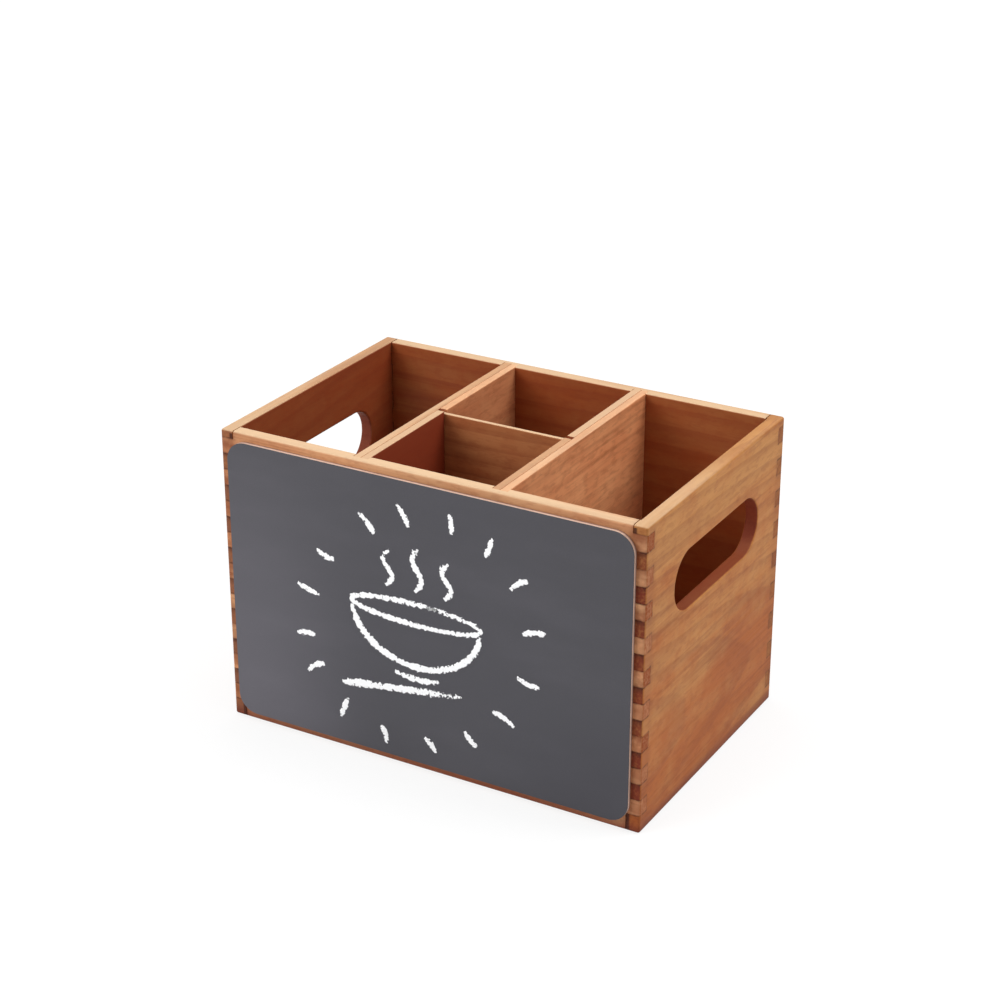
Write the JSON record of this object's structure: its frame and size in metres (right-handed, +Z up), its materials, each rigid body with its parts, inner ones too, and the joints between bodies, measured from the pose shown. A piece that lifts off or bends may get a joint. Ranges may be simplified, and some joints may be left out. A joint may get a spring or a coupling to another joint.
{
  "type": "utensil caddy",
  "caption": "Open finger-jointed wooden caddy with three bays, a lift-out cross divider, slotted carrying holes in the end walls and a chalkboard front.",
  "frame": {"origin": "middle of the underside of the four walls, which stands on the table", "axes": "+X to the right along the width, -Y towards the chalkboard front, +Z up"},
  "size_m": [0.27, 0.179, 0.184],
  "materials": {
    "stained_wood": "warm brown stain with a satin sheen",
    "pale_board": "bare fibreboard",
    "chalkboard_black": "matt chalkboard paint"
  },
  "bodies": {
    "box": {"front_wall": "stained_wood", "back_wall": "stained_wood", "left_wall": "stained_wood", "right_wall": "stained_wood", "floor": "stained_wood", "left_partition": "stained_wood", "left_liner_front": "stained_wood", "left_liner_back": "stained_wood", "right_partition": "stained_wood", "right_liner_front": "stained_wood", "right_liner_back": "stained_wood", "chalkboard_core": "pale_board", "chalkboard_face": "chalkboard_black"},
    "divider": {"cross_divider": "stained_wood"}
  },
  "joints": [
    {"name": "divider_lift", "type": "slide", "parent": "box", "child": "divider", "axis": [0, 0, 1], "range_m": [0, 0.18]}
  ]
}
